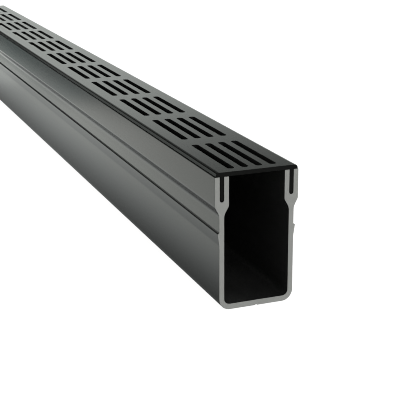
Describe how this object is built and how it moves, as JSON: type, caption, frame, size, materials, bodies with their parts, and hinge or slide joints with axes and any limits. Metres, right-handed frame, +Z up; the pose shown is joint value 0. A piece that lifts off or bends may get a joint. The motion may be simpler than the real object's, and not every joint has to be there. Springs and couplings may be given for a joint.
{
  "type": "channel drain",
  "caption": "Narrow deep channel drain: a straight open-topped extrusion with forked wall tops, and a slotted cover plate whose legs plug into the forks and lift out for cleaning.",
  "frame": {"origin": "underside of the channel, at the middle of its width and its length", "axes": "+Z up, +Y along the channel away from the end that the picture shows, +X across it"},
  "size_m": [0.05, 0.7858, 0.08],
  "materials": {
    "channel_skin": "black anodised, satin, with fine lengthwise extrusion lines; saw-cut ends bare grey",
    "grate_skin": "black anodised, satin, ends and slots black too"
  },
  "bodies": {
    "channel": {"channel_body": "channel_skin"},
    "cover": {"grate": "grate_skin"}
  },
  "joints": [
    {"name": "grate_lift", "type": "slide", "parent": "channel", "child": "cover", "axis": [0, 0, 1], "range_m": [0, 0.03]}
  ]
}
